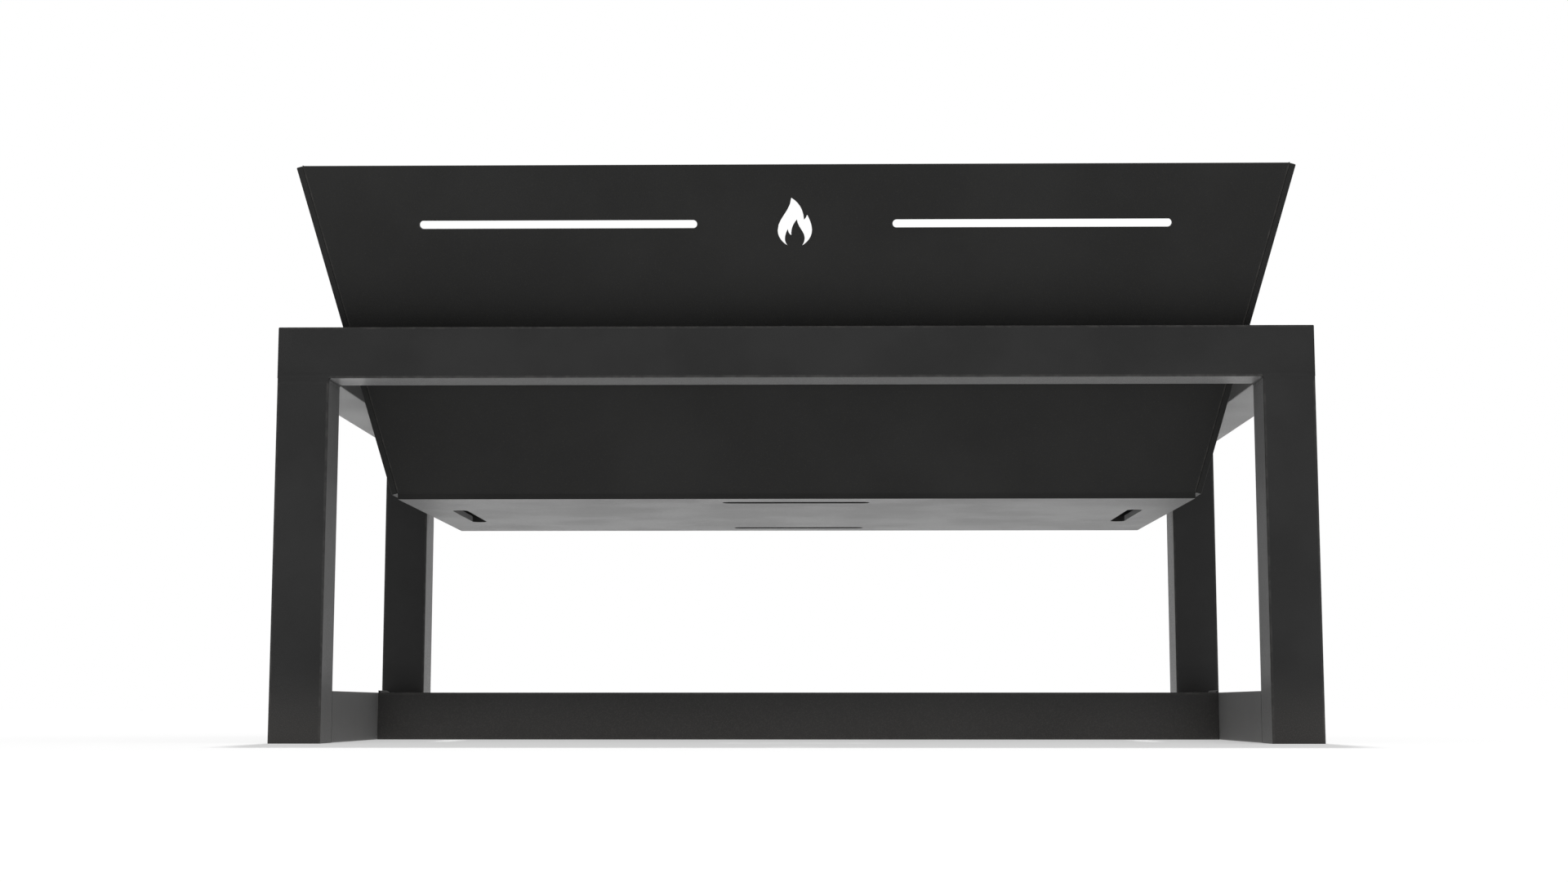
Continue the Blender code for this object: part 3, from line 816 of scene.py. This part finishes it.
def flat_bar(node, material):
    """A solid bar with rolled corners and lightly chamfered sawn ends."""
    centre, (half_length, half_u, half_v), axes = bar_axes(node)
    full, mask = rounded_ring(half_u, half_v, flat_corner, flat_corner, arc_steps=3)
    tip, _ = rounded_ring(half_u - sawn_chamfer, half_v - sawn_chamfer, flat_corner - sawn_chamfer,
                          flat_corner, arc_steps=3)
    chamfer = half_length - sawn_chamfer
    stations = ((-half_length, tip), (-chamfer, full), (chamfer, full), (half_length, tip))
    rings = np.array([station_ring(centre, axes, along, outline) for along, outline in stations])
    bar = surface(rings, edge=mask[None, :])
    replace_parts(add_piece(f"{node}_bar", [bar], material, "grate"), node)


for side in ("front", "rear"):
    flat_bar(f"grate_rim_{side}", steel_along_x)
    flat_bar(f"grate_bearer_{side}", steel_along_x)
for side in ("left", "right"):
    flat_bar(f"grate_rim_{side}", steel_along_y)

# ---- grate rods ----
# Nineteen lengths of 12 mm round bar, sawn, their ends broken with a file, laid on the bearers
# and welded to the rim.  The steel is tinted straw and blue for a finger's width at each weld.
rod_names = sorted(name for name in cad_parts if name.startswith("grate_rod"))
rod_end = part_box(rod_names[0])[1].y
rod_steel = rolled_steel("steel_rod", (1, line_stretch, 1), weld_line=rod_end)
filed_end = 0.0006


def circle(radius, sides=24):
    """Points round a circle, anticlockwise."""
    angle = np.arange(sides) * 2 * np.pi / sides
    return radius * np.column_stack([np.cos(angle), np.sin(angle)])


def round_bar(node, material):
    """A straight round bar: circles at stations along its axis, smaller at the filed ends."""
    centre, (half_length, radius, _), axes = bar_axes(node)
    filed = half_length - filed_end
    stations = ((-half_length, radius - filed_end), (-filed, radius), (filed, radius),
                (half_length, radius - filed_end))
    rings = np.array([station_ring(centre, axes, along, circle(size)) for along, size in stations])
    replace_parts(add_piece(f"{node}_bar", [surface(rings)], material, "grate"), node)


for name in rod_names:
    round_bar(name, rod_steel)

# ---- grate lifting loops ----
# Two lengths of 8 mm round bar, each bent to a flat-topped arch, stand against the inside of
# the rim at the grate's short sides and are welded to it, to lift the grate by.
loop_steel = rolled_steel("steel_loop", (1, 1, 1))
loop_bend = 0.020           # bend radius on the bar's axis
bend_stations = 11
loop_sides = 16


def bent_arch(node, material):
    """A round bar swept along an arch: up, a quarter turn, across, a quarter turn and down.

    At a bend's angle t the axis is bend centre + loop_bend * (cos t, sin t) in the y-z plane,
    and a ring lies across the path: radius * (cos a * x axis + sin a * side axis).
    """
    low, high = node_box(node)
    radius = (high[0] - low[0]) / 2
    half, crown = high[1] - radius, high[2] - radius
    turn = np.linspace(0, np.pi / 2, bend_stations)
    bend = loop_bend * np.column_stack([np.cos(turn), np.sin(turn)])
    right = bend + (half - loop_bend, crown - loop_bend)
    left = (right * (-1, 1))[::-1]
    path = np.concatenate([[(half, low[2])], right, left, [(-half, low[2])]])
    heading = np.gradient(path, axis=0)
    heading[0], heading[-1] = (0, 1), (0, -1)
    heading /= np.linalg.norm(heading, axis=1, keepdims=True)
    side = np.column_stack([-heading[:, 1], heading[:, 0]])
    ring = circle(radius, loop_sides)
    rings = np.zeros((len(path), len(ring), 3))
    rings[..., 0] = (low[0] + high[0]) / 2 + ring[None, :, 0]
    rings[..., 1:] = path[:, None] + ring[None, :, 1, None] * side[:, None]
    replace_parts(add_piece(f"{node}_bar", [surface(rings)], material, "grate"), node)


bent_arch("grate_loop_left", loop_steel)
bent_arch("grate_loop_right", loop_steel)

# ---- grate welds ----
# Every rod end has a ring of weld against the rim and a tack at each side where it crosses a
# bearer.  The rim's corners, the bearers' ends and the loops' legs have short upright fillets.
# The beads are bare, browned by their own heat.
ring_size = 0.0025
ring_points = 41
grate_ripple = 0.15
tack_size = 0.0028
tack_inset = 0.0005         # from the bearer's faces
tack_root = 0.002           # a tack's root from below the rod's axis
flank_reach = 0.0012        # from the root out to the toe on the rod's flank
flank_rise = 0.0016         # and up to it
bead_end = 0.0015           # left bare at the ends of an upright fillet
loop_weld_offset = 0.75     # of a loop bar's radius, from the axis of its leg
bead_grain = 0.00004        # of the weld metal, as bump
burnt_bead = (0.13, 0.10, 0.08)
clean_bead = (0.30, 0.285, 0.27)


def weld_metal_material():
    """Bare weld metal, blotched brown and grey."""
    material = bpy.data.materials.new("weld_metal")
    material.use_nodes = True
    tree = material.node_tree
    shader = tree.nodes["Principled BSDF"]
    blotches = add_range(tree, add_noise(tree, scale=420, detail=3.0), 0.4, 0.65)
    colour = add_mix(tree, blotches, burnt_bead, clean_bead)
    tree.links.new(colour, shader.inputs["Base Color"])
    dull = add_range(tree, blotches, 0.0, 1.0, to_low=0.5, to_high=0.32)
    tree.links.new(dull, shader.inputs["Roughness"])
    shader.inputs["Metallic"].default_value = 0.85
    add_bump(tree, add_noise(tree, scale=1500), bead_grain, shader)
    return material


def bare_weld(roots, first, second, **options):
    """A rippled weld on the grate."""
    return weld_bead(roots, first, second, ripple=grate_ripple, **options)


def rod_end_welds(node):
    """A ring of weld round a rod at each end, where it meets the rim."""
    centre, (half_length, radius, _), axes = bar_axes(node)
    angle = np.linspace(0, 2 * np.pi, ring_points)
    outward = np.column_stack([0 * angle, np.cos(angle), np.sin(angle)]) @ axes
    welds = []
    for end in (-1, 1):
        tip = centre + end * axes[0] * half_length
        welds.append(bare_weld(tip + outward * (radius - joint_gap), outward * ring_size,
                               -end * axes[0] * ring_size, ring=True))
    return welds


def crossing_tacks(node, bearer):
    """Two short beads in the grooves between a rod's flanks and the top of a bearer."""
    middle = bar_axes(node)[0][0]
    low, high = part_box(bearer)
    tacks = []
    for side in (-1, 1):
        x = middle + side * tack_root
        path = seam_path((x, low.y + tack_inset, high.z), (x, high.y - tack_inset, high.z))
        tacks.append(bare_weld(path, (side * tack_size, 0, 0), (side * flank_reach, 0, flank_rise)))
    return tacks


def upright_weld(x, y, low, high, towards_x, towards_y):
    """A fillet that runs upwards in the corner at x, y, its toes tack_size away each way."""
    path = seam_path((x, y, low + bead_end), (x, y, high - bead_end))
    return bare_weld(path, (towards_x * tack_size, 0, 0), (0, towards_y * tack_size, 0))


grate_welds = []
for name in rod_names:
    grate_welds += rod_end_welds(name)
    grate_welds += crossing_tacks(name, "grate_bearer_front")
    grate_welds += crossing_tacks(name, "grate_bearer_rear")
rim_low, rim_high = node_box("grate_rim_left")
inner_x = -rim_high[0]
inner_y = -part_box("grate_rim_front")[1].y
for x_side, x_name in left_right:
    x = x_side * inner_x
    for y_side, y_name in front_rear:
        y = y_side * inner_y
        grate_welds.append(upright_weld(x, y, rim_low[2], rim_high[2], -x_side, -y_side))
        bearer_low, bearer_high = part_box(f"grate_bearer_{y_name}")
        for face, y in ((-1, bearer_low.y), (1, bearer_high.y)):
            grate_welds.append(upright_weld(x, y, bearer_low.z, bearer_high.z, -x_side, face))
    loop_low, loop_high = node_box(f"grate_loop_{x_name}")
    loop_radius = (loop_high[0] - loop_low[0]) / 2
    for leg in (-1, 1):
        for face in (-1, 1):
            y = leg * (loop_high[1] - loop_radius) + face * loop_radius * loop_weld_offset
            grate_welds.append(upright_weld(x, y, loop_low[2], rim_high[2], -x_side, face))
add_piece("grate_welds", grate_welds, weld_metal_material(), "grate")
